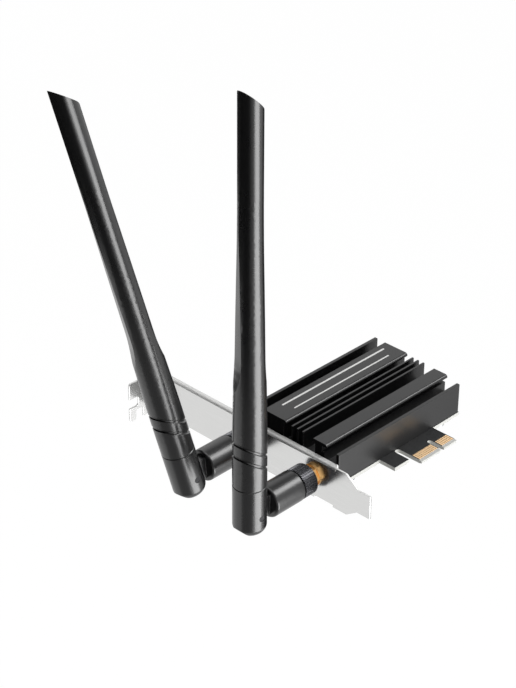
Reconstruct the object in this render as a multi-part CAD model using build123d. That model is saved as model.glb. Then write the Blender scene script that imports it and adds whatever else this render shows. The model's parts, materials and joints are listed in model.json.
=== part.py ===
from build123d import *
import os
from math import atan, cos, degrees, radians, sin

# Frame: the origin is the middle of the edge connector's tip, on the centre of its key notch.
# +X runs along the card away from the bracket, +Y out of the slot, +Z up from the component side.
# All sizes are millimetres and all angles are degrees.

# Circuit board
BOARD_THICKNESS = 1.57
BOARD_LENGTH = 72.5
BOARD_WIDTH = 52.0
KEY_TO_BRACKET = 50.0        # key notch centre to the bracket's outer face
CONNECTOR_DROP = 12.2        # board edge to connector tip
LONG_SEGMENT = 11.65         # connector length on the bracket side of the key
SHORT_SEGMENT = 7.65         # connector length on the far side of the key
KEY_WIDTH = 1.9
KEY_DEPTH = 7.5
TIP_BEVEL_LENGTH = 1.3
TIP_BEVEL_DEPTH = 0.35
HOOK_LENGTH = 8.3
HOOK_DROP = 7.9
HOOK_SLOT = 2.6
HOOK_SLOT_FLAT = 0.1         # straight piece left between the slot's end rounds

# Gold finger pads
FINGER_PITCH = 1.0
FINGER_WIDTH = 0.7
FINGER_LENGTH = 3.8
FINGER_THICKNESS = 0.06
LONG_FINGERS = 11
SHORT_FINGERS = 7

# Bracket sheet
SHEET = 0.86
BEND_INSIDE = 0.5
FACE_TOP = 9.1               # face's upper edge above the board's top
FACE_HEIGHT = 18.42
FLANGE_WIDTH = 2.4
FLANGE_START = -0.8          # flange ends, measured along Y from the board edge
FLANGE_END = 94.0
FLANGE_CORNER = 1.2
TONGUE_END = 18.4            # below the board edge
TONGUE_LENGTH = 6.4
TONGUE_TOP = 4.5             # above the board's top
TONGUE_HEIGHT = 10.19
TAPER_TOP = 6.0              # where the upper taper starts, below the board edge
TAPER_BOTTOM = 6.6           # where the lower taper starts, below the board edge
FACE_CORNER = 2.0
EDGE_NOTCH_START = 0.3       # shallow notch in the lower edge, from the board edge
EDGE_NOTCH_LENGTH = 9.6
EDGE_NOTCH_DEPTH = 1.0
EAR_SEAT = 102.4             # ear's seating face, from the board edge
EAR_DEPTH = 11.43
EAR_TOP = 6.1                # above the board's top
EAR_HEIGHT = 18.2
EAR_CORNER = 1.3
EAR_RELIEF = 1.6             # gap between the face's upper end and the ear bend
SCREW_NOTCH_WIDTH = 4.42
SCREW_NOTCH_DEPTH = 4.9
SCREW_NOTCH_BELOW_TOP = 9.7
SCREW_NOTCH_CORNER = 1.2
GUIDE_NOTCH_WIDTH = 4.0
GUIDE_NOTCH_DEPTH = 4.6
GUIDE_NOTCH_FROM_FACE = 4.1
GUIDE_NOTCH_CORNER = 0.8

# Heat sink extrusion, heights above the board's top
SINK_GAP = 0.4               # clear of the bracket's flange
SINK_END_INSET = 0.36        # from the board's far end
SINK_INSET = 0.2             # from the board's near edge
SINK_WIDTH = 45.4
SINK_WALL = 1.5
NEAR_WALL_HEIGHT = 13.2
FAR_WALL_HEIGHT = 16.3
CAVITY_HEIGHT = 4.5
SINK_BASE = 2.3
FOOT_WIDTH = 5.0
RIB_PLATE = 1.4              # thickness of the plates on the T-topped ribs
RIB_ROUND = 1.1              # rounding of each plate's near edge
NARROW_PLATE_START = 6.4     # positions across the sink from its near side
NARROW_PLATE_WIDTH = 7.1
NARROW_PLATE_TOP = 14.9
NARROW_BODY_INSET = 1.0
NARROW_BODY_TOP = 11.2
NARROW_NECK_INSET = 2.4
FIN_FIRST = 18.5
FIN_PITCH = 2.85
FIN_COUNT = 3
FIN_THICKNESS = 0.9
FIN_TOP = 15.3
WIDE_PLATE_START = 27.6
WIDE_PLATE_WIDTH = 12.3
WIDE_PLATE_TOP = 16.1
WIDE_STEM_INSET = 1.4
JACK_RELIEF_LENGTH = 6.5     # pocket in the far foot over the second jack's solder legs
JACK_RELIEF_HEIGHT = 3.4
JACK_RELIEF_CLEARANCE = 1.2

# Heat sink screws
SINK_SCREW_RADIUS = 1.25
SINK_SCREW_REACH = 3.2
SINK_SCREW_HEAD_RADIUS = 2.3
SINK_SCREW_HEAD = 1.5
SINK_SCREW_FROM_END = 9.0
SINK_SCREW_FROM_SIDE = 2.7
SCREW_CLEARANCE = 0.05
SCREW_HOLE_CLEARANCE = 0.2
TAPPED_EXTRA = 0.5
HEAD_ROUND = 0.4
DRIVE_DEPTH = 0.45           # cross recess in each screw head
DRIVE_LENGTH = 2.6
DRIVE_WIDTH = 0.6

# Wireless module
MODULE_LENGTH = 30.0
MODULE_WIDTH = 22.0
MODULE_THICKNESS = 0.8
MODULE_LIFT = 1.5            # module board above the main board
MODULE_ACROSS = 23.0         # module centre line, from the board's near edge
MODULE_NOTCH_RADIUS = 1.75
SOCKET_FROM_END = 6.96       # socket's back from the board's far end
SOCKET_LENGTH = 8.7
SOCKET_WIDTH = 24.0
SOCKET_HEIGHT = 3.2
SOCKET_GRIP = 4.0            # how far the module enters the socket
SOCKET_CLEARANCE = 0.05
STANDOFF_RADIUS = 2.3
STANDOFF_BORE = 0.8
MODULE_SCREW_RADIUS = 0.75
MODULE_SCREW_REACH = 1.3
MODULE_SCREW_HEAD_RADIUS = 2.3
MODULE_SCREW_HEAD = 0.8
CHIP_SIZE = 11.0
CHIP_HEIGHT = 0.9
SHIELD_LENGTH = 17.0
SHIELD_WIDTH = 20.0
SHIELD_HEIGHT = 1.4
SHIELD_WALL = 0.3
SHIELD_FROM_SOCKET = 1.5
PAD_INSET = 1.0

# Coaxial leads under the heat sink
RECEPTACLE_RADIUS = 0.95
RECEPTACLE_HEIGHT = 1.0
PLUG_RADIUS = 1.4
PLUG_HEIGHT = 1.0
PLUG_LIFT = 0.35
PLUG_CLEARANCE = 0.05
LEAD_RADIUS = 0.565
LEAD_STRAIGHT = 5.0
LEAD_BEND = 8.0
MODULE_PLUG_SPREAD = 7.0     # from the module's centre line
MODULE_PLUG_FROM_END = 2.2
BOARD_PLUG_FROM_END = 9.5    # from the board's bracket end
BOARD_PLUG_FROM_FAR_FOOT = 3.1   # upper lead, from the heat sink's foot
BOARD_PLUG_FROM_NEAR_FOOT = 7.7  # lower lead, from the heat sink's foot

# Antenna jacks, measured outwards from the bracket's outer face
JACK_FROM_EDGE = 11.4        # lower jack's axis from the board's near edge
JACK_SPACING = 34.3
JACK_RADIUS = 3.175
JACK_REACH = 7.4
JACK_BORE = 2.3
JACK_BORE_DEPTH = 4.0
JACK_FLANGE = 1.6
JACK_FLANGE_WIDTH = 9.0
JACK_FLANGE_HEIGHT = 8.0
JACK_HOLE_CLEARANCE = 0.15
JACK_LEG = 1.0
JACK_LEG_LENGTH = 4.5
JACK_LEG_SPREAD = 2.6
INSULATOR_RADIUS = 2.0
INSULATOR_CLEARANCE = 0.02
PIN_RADIUS = 0.475
PIN_SOLDER_GAP = 0.02
PIN_SET_BACK = 1.0
PIN_TAIL = 3.0
WASHER_RADIUS = 4.6
WASHER_THICKNESS = 0.5
HEX_SIDES = 6
HEX_ACROSS_FLATS = 8.0
HEX_THICKNESS = 2.0
HEX_CHAMFER = 0.4
THREAD_CLEARANCE = 0.075

# Antenna plug core and coupling nut
NUT_START = 3.1
NUT_LENGTH = 6.6
NUT_RADIUS = 6.4
KNURL_COUNT = 40
KNURL_DEPTH = 0.35
KNURL_CREST = 3.8            # angle across each crest
KNURL_FLANK = 1.4            # angle across each flank
NUT_CHAMFER = 0.35
CORE_FLANGE_RADIUS = 4.25
CORE_FLANGE = 1.05
CORE_RADIUS = 3.0
CORE_SPIGOT_RADIUS = 2.2
CORE_SPIGOT_LENGTH = 3.5
CORE_DEPTH = 10.5            # how far the core enters the barrel
COLLAR_RADIUS = 3.6
COLLAR_LENGTH = 1.0
COLLAR_FROM_END = 1.0
RUNNING_FIT = 0.06
END_FLOAT = 0.1

# Antenna barrel and hinge
FOOT_RADIUS = 6.55           # barrel, hinge fork and sleeve foot share this radius
BARREL_GAP = 0.3
BARREL_ROUND = 0.9
PIVOT_REACH = 34.2           # hinge pin's axis from the bracket's outer face
HEEL_RADIUS = 8.2            # fork's heel, rounded about the hinge pin
HEEL_CLEARANCE = 0.4
HEEL_ROUND = 1.1             # rounding of the heel's rim
HINGE_TONGUE = 4.6
HINGE_TONGUE_HALF = 4.5
HINGE_SIDE_CLEARANCE = 0.3
HINGE_PIN_RADIUS = 1.3
HINGE_PIN_SET_BACK = 0.15
PIN_SEAT_CLEARANCE = 0.02

# Antenna sleeve, heights above the hinge pin
PARTING = 12.8
PARTING_CHAMFER = 0.25
SPIGOT_RADIUS = 4.5
SPIGOT_HEIGHT = 5.0
SPIGOT_CLEARANCE = 0.05
GROOVE_HEIGHTS = (23.0, 28.5)
GROOVE_SLOPE = 0.6
GROOVE_WIDTH = 0.9
GROOVE_DEPTH = 0.5
TAPER_START = 20.0
TAPER_END = 132.0
TIP_RADIUS = 4.6
TIP_HEIGHT = 167.1           # on the axis
TIP_SLOPE = 1.0
TIP_SIDE = 4.75              # upright line that the tip's rounding ends on, just outside the sleeve
TIP_ROUND = 10.0             # rounding of the tip's low side
FLAT_HALF = 4.63             # half thickness between the sleeve's two flats
FLAT_TURN = 26.0             # flats turned about the sleeve from the hinge's swing plane
FLAT_FOOT = 68.0             # where the flats begin to run out
FLAT_RUN_OUT = 60.0          # radius of the run-out
FLAT_RUN_OUT_ANGLE = 16.0
SLEEVE_BORE = 2.8
SLEEVE_BORE_TOP = 150.0
STRIP_WIDTH = 5.2
STRIP_THICKNESS = 0.8
STRIP_LENGTH = 118.0
STRIP_SEAT = 1.2             # strip's lower end above the parting line
STRIP_CLEARANCE = 0.05

# How the antennas stand: swivel towards the ear, and lean out from a right angle
SWIVEL_1 = 7.2
LEAN_1 = 12.0
SWIVEL_2 = 0.0
LEAN_2 = 0.0

# Values that follow from the sizes above
board_top = BOARD_THICKNESS / 2
edge_y = CONNECTOR_DROP
face_x = -KEY_TO_BRACKET
inner_face_x = face_x + SHEET
board_left = inner_face_x + JACK_FLANGE
board_right = board_left + BOARD_LENGTH
sink_left = face_x + FLANGE_WIDTH + SINK_GAP
sink_right = board_right - SINK_END_INSET
sink_near = edge_y + SINK_INSET
sink_far = sink_near + SINK_WIDTH
jack_z = board_top + PIN_RADIUS + PIN_SOLDER_GAP
jack_ys = (edge_y + JACK_FROM_EDGE + JACK_SPACING, edge_y + JACK_FROM_EDGE)
module_y = edge_y + MODULE_ACROSS
socket_back = board_right - SOCKET_FROM_END
socket_mouth = socket_back - SOCKET_LENGTH
module_right = socket_mouth + SOCKET_GRIP
module_left = module_right - MODULE_LENGTH
module_bottom = board_top + MODULE_LIFT
module_top = module_bottom + MODULE_THICKNESS
half_module = MODULE_WIDTH / 2
shield_right = socket_mouth - SHIELD_FROM_SOCKET
shield_left = shield_right - SHIELD_LENGTH
shield_x = (shield_left + shield_right) / 2
nut_end = NUT_START + NUT_LENGTH
flange_back = JACK_REACH + CORE_FLANGE
groove_back = flange_back + END_FLOAT
barrel_start = nut_end + BARREL_GAP
core_end = barrel_start + CORE_DEPTH
collar_end = core_end - COLLAR_FROM_END
collar_start = collar_end - COLLAR_LENGTH
slot_half = HINGE_TONGUE / 2 + HINGE_SIDE_CLEARANCE
shoulder = HEEL_RADIUS + HEEL_CLEARANCE


def span(x0, x1, y0, y1):
    """A rectangle between two corners, in a sketch plane."""
    return Pos((x0 + x1) / 2, (y0 + y1) / 2) * Rectangle(x1 - x0, y1 - y0)


def block(x0, x1, y0, y1, z0, z1):
    """A rectangular block between two corners."""
    centre = Pos((x0 + x1) / 2, (y0 + y1) / 2, (z0 + z1) / 2)
    return centre * Box(x1 - x0, y1 - y0, z1 - z0)


def near(face, *points):
    """The vertices of a sketch that lie nearest to the given points."""
    return [face.vertices().sort_by_distance((x, y, 0))[0] for x, y in points]


def turned(*points):
    """A body turned about the X axis from (x, radius) points."""
    return revolve(make_face(Polyline(*points, close=True)), Axis.X)


def post(x, y, z0, z1, radius):
    """An upright round post."""
    return Pos(x, y, (z0 + z1) / 2) * Cylinder(radius, z1 - z0)


def circuit_board():
    """Board outline with connector tongue, key, hook and screw holes."""
    left = -KEY_WIDTH / 2 - LONG_SEGMENT
    right = KEY_WIDTH / 2 + SHORT_SEGMENT
    hook_right = left - HOOK_SLOT
    hook_left = hook_right - HOOK_LENGTH
    outline = span(board_left, board_right, edge_y, edge_y + BOARD_WIDTH)
    outline += span(left, right, 0, edge_y)
    outline += span(hook_left, hook_right, edge_y - HOOK_DROP, edge_y)
    outline = fillet(near(outline, (left, edge_y), (hook_right, edge_y)), (HOOK_SLOT - HOOK_SLOT_FLAT) / 2)
    outline -= span(-KEY_WIDTH / 2, KEY_WIDTH / 2, 0, KEY_DEPTH - KEY_WIDTH / 2)
    outline -= Pos(0, KEY_DEPTH - KEY_WIDTH / 2) * Circle(KEY_WIDTH / 2)
    hole = SINK_SCREW_RADIUS + SCREW_HOLE_CLEARANCE
    outline -= [Pos(x, y) * Circle(hole) for x, y in sink_screw_places()]
    board = extrude(Pos(0, 0, -board_top) * outline, BOARD_THICKNESS)
    bevel = Polyline((0, board_top), (TIP_BEVEL_LENGTH, board_top),
                     (0, board_top - TIP_BEVEL_DEPTH), close=True)
    wedge = extrude(Plane.YZ.offset(left) * make_face(bevel), right - left)
    return board - wedge - mirror(wedge, Plane.XY)


def edge_contacts():
    """Finger pads on both faces of the connector, missing at the key."""
    start_long = -KEY_WIDTH / 2 - LONG_SEGMENT / 2 - FINGER_PITCH * (LONG_FINGERS - 1) / 2
    start_short = KEY_WIDTH / 2 + SHORT_SEGMENT / 2 - FINGER_PITCH * (SHORT_FINGERS - 1) / 2
    places = [start_long + FINGER_PITCH * i for i in range(LONG_FINGERS)]
    places += [start_short + FINGER_PITCH * i for i in range(SHORT_FINGERS)]
    y = TIP_BEVEL_LENGTH + FINGER_LENGTH / 2
    z = board_top + FINGER_THICKNESS / 2
    pad = Box(FINGER_WIDTH, FINGER_LENGTH, FINGER_THICKNESS)
    return Compound([Pos(x, y, side * z) * pad for side in (1, -1) for x in places])


def sink_screw_places():
    """Four screws, one near each end of each foot."""
    xs = (sink_left + SINK_SCREW_FROM_END, sink_right - SINK_SCREW_FROM_END)
    ys = (sink_near + SINK_SCREW_FROM_SIDE, sink_far - SINK_SCREW_FROM_SIDE)
    return [(x, y) for x in xs for y in ys]


def heat_sink():
    """One extrusion: two walls on feet, a base plate, two T-topped ribs and thin fins."""
    base_top = CAVITY_HEIGHT + SINK_BASE
    width = SINK_WIDTH
    profile = span(0, width, CAVITY_HEIGHT, base_top)
    profile += span(0, SINK_WALL, 0, NEAR_WALL_HEIGHT) + span(width - SINK_WALL, width, 0, FAR_WALL_HEIGHT)
    profile += span(0, FOOT_WIDTH, 0, base_top) + span(width - FOOT_WIDTH, width, 0, base_top)
    for i in range(FIN_COUNT):
        y = FIN_FIRST + FIN_PITCH * i
        profile += span(y, y + FIN_THICKNESS, CAVITY_HEIGHT, FIN_TOP)

    y0, y1 = NARROW_PLATE_START, NARROW_PLATE_START + NARROW_PLATE_WIDTH
    under = NARROW_PLATE_TOP - RIB_PLATE
    profile += span(y0 + NARROW_BODY_INSET, y1 - NARROW_BODY_INSET, CAVITY_HEIGHT, NARROW_BODY_TOP)
    profile += span(y0 + NARROW_NECK_INSET, y1 - NARROW_BODY_INSET, CAVITY_HEIGHT, under)
    profile += fillet(near(span(y0, y1, under, NARROW_PLATE_TOP), (y0, NARROW_PLATE_TOP)), RIB_ROUND)

    y0, y1 = WIDE_PLATE_START, WIDE_PLATE_START + WIDE_PLATE_WIDTH
    under = WIDE_PLATE_TOP - RIB_PLATE
    profile += span(y0 + WIDE_STEM_INSET, y1 - WIDE_STEM_INSET, CAVITY_HEIGHT, under)
    profile += fillet(near(span(y0, y1, under, WIDE_PLATE_TOP), (y0, WIDE_PLATE_TOP)), RIB_ROUND)

    plane = Plane.YZ.offset(sink_left)
    sink = extrude(plane * Pos(sink_near, board_top) * profile, sink_right - sink_left)
    depth = SINK_SCREW_REACH + TAPPED_EXTRA
    tapped = SINK_SCREW_RADIUS + SCREW_CLEARANCE
    for x, y in sink_screw_places():
        sink -= post(x, y, board_top, board_top + depth, tapped)
    reach = JACK_FLANGE_WIDTH / 2 + JACK_RELIEF_CLEARANCE
    y = jack_ys[0]
    sink -= block(sink_left, sink_left + JACK_RELIEF_LENGTH, y - reach, y + reach,
                  board_top, board_top + JACK_RELIEF_HEIGHT)
    return sink


def pan_screw(radius, reach, head_radius, head):
    """A pan-head screw, head up, seated at the origin and reaching down."""
    body = post(0, 0, -reach, 0, radius) + post(0, 0, 0, head, head_radius)
    body = fillet(body.edges().group_by(Axis.Z)[-1], HEAD_ROUND)
    arm = Pos(0, 0, head - DRIVE_DEPTH / 2) * Box(DRIVE_LENGTH, DRIVE_WIDTH, DRIVE_DEPTH)
    return body - arm - Rot(Z=90) * arm


def heat_sink_screws():
    """Four screws from under the board into the heat sink's feet."""
    screw = pan_screw(SINK_SCREW_RADIUS, BOARD_THICKNESS + SINK_SCREW_REACH,
                      SINK_SCREW_HEAD_RADIUS, SINK_SCREW_HEAD)
    under = Rot(X=180) * screw
    return Compound([Pos(x, y, -board_top) * under for x, y in sink_screw_places()])


def wireless_module():
    """The plug-in radio board, with a half-round screw notch in its end."""
    board = block(module_left, module_right, module_y - half_module, module_y + half_module,
                  module_bottom, module_top)
    return board - post(module_left, module_y, module_bottom, module_top, MODULE_NOTCH_RADIUS)


def module_socket():
    """The edge socket that grips the module's end."""
    half = SOCKET_WIDTH / 2
    body = block(socket_mouth, socket_back, module_y - half, module_y + half,
                 board_top, board_top + SOCKET_HEIGHT)
    c = SOCKET_CLEARANCE
    mouth = block(socket_mouth, module_right, module_y - half_module - c, module_y + half_module + c,
                  module_bottom - c, module_top + c)
    return body - mouth


def module_standoff():
    """Tapped post under the module's screw notch."""
    body = post(module_left, module_y, board_top, module_bottom, STANDOFF_RADIUS)
    return body - post(module_left, module_y, board_top, module_bottom, STANDOFF_BORE)


def module_screw():
    """Screw that clamps the module's end to its post."""
    screw = pan_screw(MODULE_SCREW_RADIUS, MODULE_THICKNESS + MODULE_SCREW_REACH,
                      MODULE_SCREW_HEAD_RADIUS, MODULE_SCREW_HEAD)
    return Pos(module_left, module_y, module_top) * screw


def radio_chip():
    """The radio chip on the module."""
    return Pos(shield_x, module_y, module_top + CHIP_HEIGHT / 2) * Box(CHIP_SIZE, CHIP_SIZE, CHIP_HEIGHT)


def radio_shield():
    """A drawn metal can over the chip, open at the bottom."""
    half = SHIELD_WIDTH / 2
    top = module_top + SHIELD_HEIGHT
    w = SHIELD_WALL
    can = block(shield_left, shield_right, module_y - half, module_y + half, module_top, top)
    return can - block(shield_left + w, shield_right - w, module_y - half + w, module_y + half - w,
                       module_top, top - w)


def thermal_pad():
    """Soft pad that fills the gap from the shield to the heat sink's base plate."""
    half = SHIELD_WIDTH / 2 - PAD_INSET
    return block(shield_left + PAD_INSET, shield_right - PAD_INSET, module_y - half, module_y + half,
                 module_top + SHIELD_HEIGHT, board_top + CAVITY_HEIGHT)


def plug_places(index):
    """Foot of each lead's two receptacles: on the module, then on the board."""
    upper = index == 0
    side = 1 if upper else -1
    on_module = (module_left + MODULE_PLUG_FROM_END, module_y + side * MODULE_PLUG_SPREAD, module_top)
    far_y = sink_far - FOOT_WIDTH - BOARD_PLUG_FROM_FAR_FOOT
    near_y = sink_near + FOOT_WIDTH + BOARD_PLUG_FROM_NEAR_FOOT
    on_board = (board_left + BOARD_PLUG_FROM_END, far_y if upper else near_y, board_top)
    return on_module, on_board


def coax_receptacles():
    """Small coaxial receptacles on the module and on the board."""
    places = [place for index in (0, 1) for place in plug_places(index)]
    return Compound([post(x, y, z, z + RECEPTACLE_HEIGHT, RECEPTACLE_RADIUS) for x, y, z in places])


def coax_lead(index):
    """A lead with a snap-on plug at each end, from the module down to the board."""
    (mx, my, mz), (bx, by, bz) = plug_places(index)
    rise = PLUG_LIFT + PLUG_HEIGHT / 2
    start = (mx - RECEPTACLE_RADIUS, my, mz + rise)
    first = (mx - PLUG_RADIUS - LEAD_STRAIGHT, my, mz + rise)
    second = (bx + PLUG_RADIUS + LEAD_STRAIGHT, by, bz + rise)
    end = (bx + RECEPTACLE_RADIUS, by, bz + rise)
    path = FilletPolyline(start, first, second, end, radius=LEAD_BEND)
    lead = sweep(Plane(origin=start, z_dir=(-1, 0, 0)) * Circle(LEAD_RADIUS), path)
    for x, y, z in plug_places(index):
        bottom = z + PLUG_LIFT
        roof = z + RECEPTACLE_HEIGHT + PLUG_CLEARANCE
        lead += post(x, y, bottom, bottom + PLUG_HEIGHT, PLUG_RADIUS)
        lead -= post(x, y, bottom, roof, RECEPTACLE_RADIUS + PLUG_CLEARANCE)
    return lead


def bend_profile(leg_x, leg_y):
    """Section of a right-angle bend: outer corner at the origin, legs along +X and +Y."""
    outside = SHEET + BEND_INSIDE
    corner = span(0, leg_x, 0, SHEET) + span(0, SHEET, 0, leg_y) + span(0, outside, 0, outside)
    corner = fillet(near(corner, (0, 0)), outside)
    return corner - Pos(outside, outside) * Circle(BEND_INSIDE) - span(outside, leg_x, SHEET, outside)


def bracket():
    """One folded sheet: face with tapered tongue, stiffening flange and slotted ear."""
    top = board_top + FACE_TOP
    bottom = top - FACE_HEIGHT
    tongue_top = board_top + TONGUE_TOP
    tongue_bottom = tongue_top - TONGUE_HEIGHT
    tongue_tip = edge_y - TONGUE_END
    tongue_root = tongue_tip + TONGUE_LENGTH
    ear_top = board_top + EAR_TOP
    ear_bottom = ear_top - EAR_HEIGHT
    seat = edge_y + EAR_SEAT
    notch = edge_y + EDGE_NOTCH_START
    bend = SHEET + BEND_INSIDE
    flat_top = top - bend

    face = make_face(Polyline(
        (tongue_tip, tongue_bottom), (tongue_root, tongue_bottom), (edge_y - TAPER_BOTTOM, bottom),
        (notch, bottom), (notch, bottom + EDGE_NOTCH_DEPTH),
        (notch + EDGE_NOTCH_LENGTH, bottom + EDGE_NOTCH_DEPTH), (notch + EDGE_NOTCH_LENGTH, bottom),
        (seat, bottom), (seat, ear_top), (seat - EAR_RELIEF, ear_top), (seat - EAR_RELIEF, top),
        (edge_y + FLANGE_END, top), (edge_y + FLANGE_END, flat_top), (edge_y + FLANGE_START, flat_top),
        (edge_y + FLANGE_START, top), (edge_y - TAPER_TOP, top), (tongue_root, tongue_top),
        (tongue_tip, tongue_top), close=True))
    face = fillet(near(face, (edge_y - TAPER_TOP, top)), FACE_CORNER)
    face = fillet(near(face, (tongue_root, tongue_top)), FACE_CORNER)
    hole = Circle(JACK_RADIUS + JACK_HOLE_CLEARANCE)
    face -= [Pos(y, jack_z) * hole for y in jack_ys]
    sheet = extrude(Plane.YZ.offset(face_x) * face, SHEET)

    section = bend_profile(FLANGE_WIDTH, bend)
    flange_plane = Plane(origin=(face_x, edge_y + FLANGE_START, top), x_dir=(1, 0, 0), z_dir=(0, 1, 0))
    flange = extrude(flange_plane * section, FLANGE_END - FLANGE_START)
    lip = flange.edges().filter_by(Axis.Z).group_by(Axis.X)[-1]
    sheet += fillet(lip, FLANGE_CORNER)

    notch_z = ear_top - SCREW_NOTCH_BELOW_TOP
    ear_edge = face_x - EAR_DEPTH
    ear = span(ear_edge, inner_face_x, bottom, ear_top)
    ear += span(ear_edge, face_x - BEND_INSIDE, ear_bottom, bottom)
    screw_notch = span(ear_edge, ear_edge + SCREW_NOTCH_DEPTH, notch_z - SCREW_NOTCH_WIDTH / 2,
                       notch_z + SCREW_NOTCH_WIDTH / 2)
    guide_right = face_x - GUIDE_NOTCH_FROM_FACE
    guide_left = guide_right - GUIDE_NOTCH_WIDTH
    guide_notch = span(guide_left, guide_right, ear_bottom, ear_bottom + GUIDE_NOTCH_DEPTH)
    ear = ear - screw_notch - guide_notch
    ear = fillet(near(ear, (ear_edge + SCREW_NOTCH_DEPTH, notch_z - SCREW_NOTCH_WIDTH / 2),
                      (ear_edge + SCREW_NOTCH_DEPTH, notch_z + SCREW_NOTCH_WIDTH / 2)), SCREW_NOTCH_CORNER)
    ear = fillet(near(ear, (guide_left, ear_bottom + GUIDE_NOTCH_DEPTH),
                      (guide_right, ear_bottom + GUIDE_NOTCH_DEPTH)), GUIDE_NOTCH_CORNER)
    ear = fillet(near(ear, (ear_edge, ear_top), (ear_edge, ear_bottom), (guide_left, ear_bottom)),
                 EAR_CORNER)
    ear_plane = Plane(origin=(0, seat + SHEET, 0), x_dir=(1, 0, 0), z_dir=(0, -1, 0))
    sheet += extrude(ear_plane * ear, SHEET)

    inside = span(face_x - BEND_INSIDE, face_x, seat - BEND_INSIDE, seat)
    inside -= Pos(face_x - BEND_INSIDE, seat - BEND_INSIDE) * Circle(BEND_INSIDE)
    sheet += extrude(Pos(0, 0, bottom) * inside, ear_top - bottom)
    outer = sheet.edges().filter_by(Axis.Z).sort_by_distance((inner_face_x, seat + SHEET, board_top))[0]
    return fillet(outer, bend)


def jack_body():
    """Threaded jack on a square flange, with four solder legs that straddle the board."""
    back = SHEET + JACK_FLANGE
    bore_end = -JACK_REACH + JACK_BORE_DEPTH
    inner = INSULATOR_RADIUS + INSULATOR_CLEARANCE
    shell = turned((-JACK_REACH, JACK_BORE), (-JACK_REACH, JACK_RADIUS), (SHEET, JACK_RADIUS),
                   (SHEET, inner), (bore_end, inner), (bore_end, JACK_BORE))
    half_w, half_h = JACK_FLANGE_WIDTH / 2, JACK_FLANGE_HEIGHT / 2
    flange = block(SHEET, back, -half_w, half_w, -half_h, half_h)
    flange -= Pos((SHEET + back) / 2, 0, 0) * Rot(Y=90) * Cylinder(inner, JACK_FLANGE)
    jack = shell + flange
    top = board_top - jack_z
    bottom = top - BOARD_THICKNESS
    for side in (1, -1):
        y0, y1 = sorted((side * JACK_LEG_SPREAD, side * (JACK_LEG_SPREAD + JACK_LEG)))
        jack += block(back, back + JACK_LEG_LENGTH, y0, y1, top, top + JACK_LEG)
        jack += block(back, back + JACK_LEG_LENGTH, y0, y1, bottom - JACK_LEG, bottom)
    return jack


def jack_insulator():
    """Insulating sleeve round the centre pin."""
    bore_end = -JACK_REACH + JACK_BORE_DEPTH
    inner = PIN_RADIUS + INSULATOR_CLEARANCE
    back = SHEET + JACK_FLANGE
    return turned((bore_end, inner), (bore_end, INSULATOR_RADIUS), (back, INSULATOR_RADIUS), (back, inner))


def jack_pin():
    """Centre pin, from just inside the jack's mouth to its solder tail on the board."""
    start = -JACK_REACH + PIN_SET_BACK
    end = SHEET + JACK_FLANGE + PIN_TAIL
    return turned((start, 0), (start, PIN_RADIUS), (end, PIN_RADIUS), (end, 0))


def jack_washer():
    """Plain washer against the bracket's face."""
    inner = JACK_RADIUS + JACK_HOLE_CLEARANCE
    outer_face = -WASHER_THICKNESS
    return turned((outer_face, inner), (outer_face, WASHER_RADIUS), (0, WASHER_RADIUS), (0, inner))


def jack_nut():
    """Hexagon nut that clamps the bracket to the jack's flange."""
    hexagon = RegularPolygon(HEX_ACROSS_FLATS / 2, HEX_SIDES, major_radius=False)
    hexagon -= Circle(JACK_RADIUS + THREAD_CLEARANCE)
    outer_face = -WASHER_THICKNESS - HEX_THICKNESS
    nut = extrude(Plane.YZ.offset(outer_face) * hexagon, HEX_THICKNESS)
    corner = HEX_ACROSS_FLATS / 2 / cos(radians(180 / HEX_SIDES))
    chamfered = turned((outer_face, 0), (outer_face, HEX_ACROSS_FLATS / 2),
                       (outer_face + HEX_CHAMFER, corner), (-WASHER_THICKNESS, corner),
                       (-WASHER_THICKNESS, 0))
    return nut & chamfered


def coupling_nut():
    """Knurled nut: threaded mouth, a groove for the core's flange and a hole for its neck."""
    pitch = 360 / KNURL_COUNT
    root = NUT_RADIUS - KNURL_DEPTH
    ridge = ((0, NUT_RADIUS), (KNURL_CREST, NUT_RADIUS),
             (KNURL_CREST + KNURL_FLANK, root), (pitch - KNURL_FLANK, root))
    points = []
    for i in range(KNURL_COUNT):
        turns = [(radians(i * pitch + angle), r) for angle, r in ridge]
        points += [(r * cos(turn), r * sin(turn)) for turn, r in turns]
    knurled = extrude(Plane.YZ.offset(-nut_end) * make_face(Polyline(*points, close=True)), NUT_LENGTH)
    c = NUT_CHAMFER
    hole = CORE_RADIUS + RUNNING_FIT
    groove = CORE_FLANGE_RADIUS + RUNNING_FIT
    thread = JACK_RADIUS + THREAD_CLEARANCE
    envelope = turned(
        (-NUT_START, thread), (-NUT_START, NUT_RADIUS - c), (-NUT_START - c, NUT_RADIUS),
        (-nut_end, NUT_RADIUS), (-nut_end, hole), (-groove_back, hole), (-groove_back, groove),
        (-JACK_REACH + END_FLOAT, groove), (-JACK_REACH + END_FLOAT, thread))
    return knurled & envelope


def plug_core():
    """Turned core: spigot in the jack, flange in the nut, shank and collar in the barrel."""
    hole = PIN_RADIUS + INSULATOR_CLEARANCE
    tip = -JACK_REACH + CORE_SPIGOT_LENGTH
    blind = -JACK_REACH - CORE_FLANGE
    return turned(
        (tip, hole), (tip, CORE_SPIGOT_RADIUS), (-JACK_REACH, CORE_SPIGOT_RADIUS),
        (-JACK_REACH, CORE_FLANGE_RADIUS), (-flange_back, CORE_FLANGE_RADIUS),
        (-flange_back, CORE_RADIUS), (-collar_start, CORE_RADIUS),
        (-collar_start, COLLAR_RADIUS), (-collar_end, COLLAR_RADIUS), (-collar_end, CORE_RADIUS),
        (-core_end, CORE_RADIUS), (-core_end, 0), (blind, 0), (blind, hole))


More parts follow.
